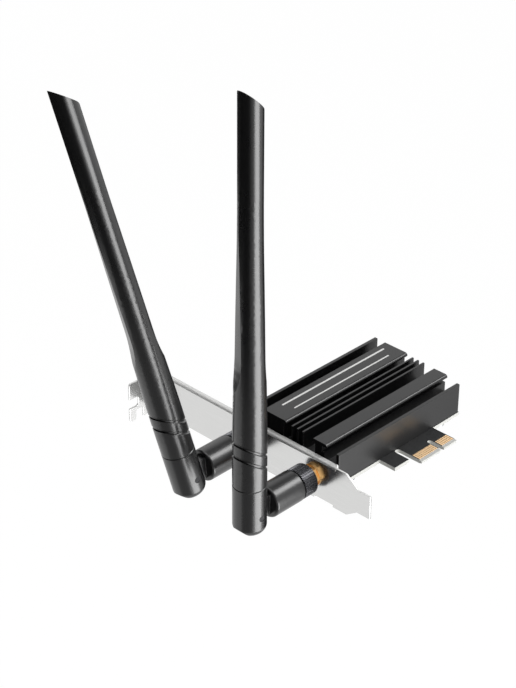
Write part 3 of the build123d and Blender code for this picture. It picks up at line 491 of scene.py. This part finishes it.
def thread(name, y):
    """One wound ridge round a jack's axis, closed at both ends."""
    deselect()
    height = (CREST - ROOT) / RIDGE_RADII
    bpy.ops.mesh.primitive_circle_add(vertices=3, radius=height * MM,
                                      location=(THREAD_START * MM, (CREST - height) * MM, 0))
    bpy.ops.object.transform_apply(location=True, rotation=True, scale=True)
    ridge = bpy.context.view_layer.objects.active
    ridge.name = ridge.data.name = name
    wind = ridge.modifiers.new("wind", "SCREW")
    wind.axis, wind.angle, wind.screw_offset, wind.iterations = "X", 2 * pi, PITCH * MM, TURNS
    wind.steps = wind.render_steps = STEPS
    bpy.ops.object.modifier_apply(modifier=wind.name)
    bpy.ops.object.mode_set(mode="EDIT")
    bpy.ops.mesh.select_all(action="SELECT")
    bpy.ops.mesh.fill_holes(sides=3)
    bpy.ops.mesh.select_all(action="SELECT")
    bpy.ops.mesh.normals_make_consistent(inside=False)
    bpy.ops.transform.translate(value=(0, y * MM, JACK_Z * MM))
    bpy.ops.object.mode_set(mode="OBJECT")
    return ridge


for number, y in JACK_YS.items():
    body = skin_of("jack_body_" + number, "threaded_jack_" + number)
    bpy.ops.object.mode_set(mode="EDIT")
    bpy.ops.mesh.select_mode(type="VERT")
    bpy.ops.mesh.select_all(action="DESELECT")
    bpy.ops.object.mode_set(mode="OBJECT")
    for vertex in body.data.vertices:
        x, out = vertex.co.x / MM, (vertex.co.yz - Vector((y, JACK_Z)) * MM).length / MM
        vertex.select = x < THREAD_END and out > ROOT
    bpy.ops.object.mode_set(mode="EDIT")
    bpy.ops.transform.resize(value=(1, ROOT / JACK_RADIUS, ROOT / JACK_RADIUS),
                             center_override=(0, y * MM, JACK_Z * MM))
    bpy.ops.object.mode_set(mode="OBJECT")
    ridge = thread("thread_" + number, y)
    deselect()
    ridge.select_set(True)
    body.select_set(True)
    bpy.context.view_layer.objects.active = body
    ridge.data.materials.append(finishes["jack_gold"])
    bpy.ops.object.join()
    bpy.ops.object.shade_smooth_by_angle(angle=radians(CRISP))
    seat(body, "card", "jack_gold", "jack_body_" + number)

# %% [markdown]
# ## Printed stripes
# The wide plate of the sink carries a white print. Two plain stripes of pad-printed ink stand
# there. A circle is pulled apart into a long shape with round ends, then extruded by the
# thickness of the ink film, which is drawn at 0.02 mm.

# %% Pad-printed stripes
INK, PLATE_TOP, CLOSE = 0.02, 16.885, 1e-7
ink_white = fine_grained("white pad-printing ink", "e2e2e0", "f0f0ee", 0.55, 0.5, 0.0, 0.1)


def stripe(name, x0, x1, y, width):
    """A flat bar of ink with round ends, from one x to another."""
    deselect()
    radius = width / 2
    bpy.ops.mesh.primitive_circle_add(vertices=32, radius=radius * MM, fill_type="NGON",
                                      location=((x0 + radius) * MM, y * MM, PLATE_TOP * MM))
    bpy.ops.object.transform_apply(location=True, rotation=True, scale=True)
    ink = bpy.context.view_layer.objects.active
    ink.name = ink.data.name = name
    bpy.ops.object.mode_set(mode="EDIT")
    bpy.ops.mesh.select_mode(type="VERT")
    bpy.ops.mesh.select_all(action="DESELECT")
    bpy.ops.object.mode_set(mode="OBJECT")
    for vertex in ink.data.vertices:
        vertex.select = vertex.co.x > (x0 + radius) * MM - CLOSE
    bpy.ops.object.mode_set(mode="EDIT")
    bpy.ops.transform.translate(value=((x1 - x0 - width) * MM, 0, 0))
    bpy.ops.mesh.select_all(action="SELECT")
    bpy.ops.mesh.extrude_region_move(TRANSFORM_OT_translate={"value": (0, 0, INK * MM)})
    bpy.ops.mesh.select_all(action="SELECT")
    bpy.ops.mesh.normals_make_consistent(inside=False)
    bpy.ops.object.mode_set(mode="OBJECT")
    ink.data.materials.append(ink_white)
    seat(ink, "card", "white_insulator")


stripe("printed_stripe_upper", -40.0, 20.4, 49.2, 0.9)
stripe("printed_stripe_lower", -38.2, 17.8, 44.4, 0.7)

# %% [markdown]
# ## Studio
# A white table well below the card leaves room for an antenna to fold down, and keeps only a faint
# shadow. What the camera, a mirror or glass sees of table and room is plain white, while light that
# reaches the object stays at a plain level.

# %% White table and room
def seen_directly(tree):
    """One where a camera, glossy or transmission ray arrives, and zero elsewhere."""
    path = add(tree, "ShaderNodeLightPath", {}).outputs
    either = add(tree, "ShaderNodeMath", {0: path["Is Camera Ray"], 1: path["Is Glossy Ray"]},
                 operation="MAXIMUM")
    return add(tree, "ShaderNodeMath", {0: either.outputs[0], 1: path["Is Transmission Ray"]},
               operation="MAXIMUM").outputs[0]


AMBIENT, TABLE_Z, TABLE_SIZE, TABLE_GLOW, GLOW_SHARE = 0.35, -600.0, 12, 1.03, 0.95
world = bpy.data.worlds.new("white room")
bpy.context.scene.world = world
world.use_nodes = True
room = world.node_tree
level = add(room, "ShaderNodeMath", {0: seen_directly(room), 1: 1 - AMBIENT, 2: AMBIENT},
            operation="MULTIPLY_ADD")
room.links.new(level.outputs[0], room.nodes["Background"].inputs["Strength"])
room.nodes["Background"].inputs["Color"].default_value = (1, 1, 1, 1)

deselect()
bpy.ops.mesh.primitive_plane_add(size=TABLE_SIZE, location=(0, 0, TABLE_Z * MM))
table = bpy.context.view_layer.objects.active
table.name = "table"
table_white, tree, shader, place = finish("white table top")
shader.inputs["Base Color"].default_value = colour("f4f4f4")
shader.inputs["Roughness"].default_value = 0.9
glow = add(tree, "ShaderNodeEmission", {"Color": (1, 1, 1, 1), "Strength": TABLE_GLOW})
share = add(tree, "ShaderNodeMath", {0: seen_directly(tree), 1: GLOW_SHARE}, operation="MULTIPLY")
both = add(tree, "ShaderNodeMixShader", {0: share.outputs[0], 1: shader.outputs[0], 2: glow.outputs[0]})
tree.links.new(both.outputs[0], tree.nodes["Material Output"].inputs["Surface"])
table.data.materials.append(table_white)
print("table at", TABLE_Z, "mm")

# %% [markdown]
# The camera looks down, so an upright black cylinder mirrors what lies below and beside it. A large
# softbox low on the right draws the long highlights, a smaller one high beyond the card lights the
# barrels, and the largest, overhead, gives the plain level of light.

# %% Softboxes
def softbox(name, place, target, width, height, radiance):
    """An area lamp of a given brightness, turned to face the target."""
    aim = (Vector(target) - Vector(place)).to_track_quat("-Z", "Y")
    bpy.ops.object.light_add(type="AREA", location=[c * MM for c in place], rotation=aim.to_euler())
    lamp = bpy.context.view_layer.objects.active
    lamp.name = name
    lamp.data.shape = "RECTANGLE"
    lamp.data.size, lamp.data.size_y = width * MM, height * MM
    lamp.data.energy = pi * width * height * MM * MM * radiance
    lamp.visible_camera = False
    print(name, round(lamp.data.energy, 2), "W")


MIDDLE, BARRELS = (-90, 40, 60), (-68, 40, 0)
softbox("highlight_strip", (40, -545, -225), MIDDLE, 460, 560, 6.2)
softbox("barrel_softbox", (247, -157, 336), BARRELS, 190, 190, 8.0)
softbox("top_softbox", (150, 200, 900), MIDDLE, 700, 700, 1.3)

# %% [markdown]
# ## Black cards
# White all round would wash a black part out. Photographers stand black cards just out of view, and
# the dark core of a round black part is their reflection. Two cloths just above the table do the same
# from below. Cards and cloths are seen by reflections alone, so they cast no shadow and the table stays
# white.

# %% Cards and floor cloths
OVERHEAD, FLOOR = 450, TABLE_Z + 2
card_black = fine_grained("black studio card", "050505", "0a0a0a", 0.9, 2.0, 0.0)
cloth_grey = fine_grained("grey studio cloth", "d0d0d0", "dadada", 0.9, 2.0, 0.0)


def sheet(name, corners, material):
    """A flat sheet between four corners, in millimetres."""
    deselect()
    bpy.ops.mesh.primitive_plane_add(size=1)
    flat = bpy.context.view_layer.objects.active
    flat.name = flat.data.name = name
    for vertex, corner in zip(flat.data.vertices, (corners[0], corners[1], corners[3], corners[2])):
        vertex.co = Vector(corner) * MM
    flat.data.materials.append(material)
    flat.visible_camera = flat.visible_diffuse = flat.visible_shadow = False


def black_card(name, start, end, low, high):
    """An upright card above the line from one floor point to another."""
    sheet(name, ((*start, low), (*end, low), (*end, high), (*start, high)), card_black)


def level_sheet(name, height, corners, material):
    """A card or cloth that lies level at one height."""
    sheet(name, [(*corner, height) for corner in corners], material)


black_card("card_left_back", (-112, 172), (-190, 130), 20, 200)
black_card("card_left", (-190, 130), (-225, 75), 10, 200)
black_card("card_left_front", (-225, 75), (-232, -2), -20, 200)
black_card("card_front", (-232, -2), (-192, -80), -20, 200)
black_card("card_high_back", (-25, 190), (-112, 190), 50, 220)
level_sheet("card_overhead", OVERHEAD, ((216, -30), (450, -75), (235, 440), (95, 280)), card_black)
level_sheet("cloth_front", FLOOR, ((-1900, 150), (-500, 150), (-250, -1500), (-1900, -1500)), cloth_grey)
level_sheet("cloth_right", FLOOR, ((560, -430), (2200, -600), (2200, 1500), (560, 1500)), card_black)
print("cards and cloths in place")

# %% [markdown]
# ## Camera
# The camera looks down on the card by about 31 degrees, from in front of the bracket and to the
# side, through a long lens.

# %% Camera at the photograph's angle
LENS, NEAREST, STAND = 104.65, 0.01, Vector((-519.8, -402.9, 438.9))
HEADING, TILT, LEVEL = radians(-45.87), radians(59.12), radians(0.31)
bpy.ops.object.camera_add()
camera = bpy.context.view_layer.objects.active
camera.data.lens = LENS
camera.data.clip_start = NEAREST
turn = Matrix.Rotation(HEADING, 4, "Z") @ Matrix.Rotation(TILT, 4, "X")
turn = turn @ Matrix.Rotation(LEVEL, 4, "Z")
camera.matrix_world = Matrix.Translation(STAND * MM) @ turn
bpy.context.scene.camera = camera
print("camera", [round(c, 3) for c in camera.location])
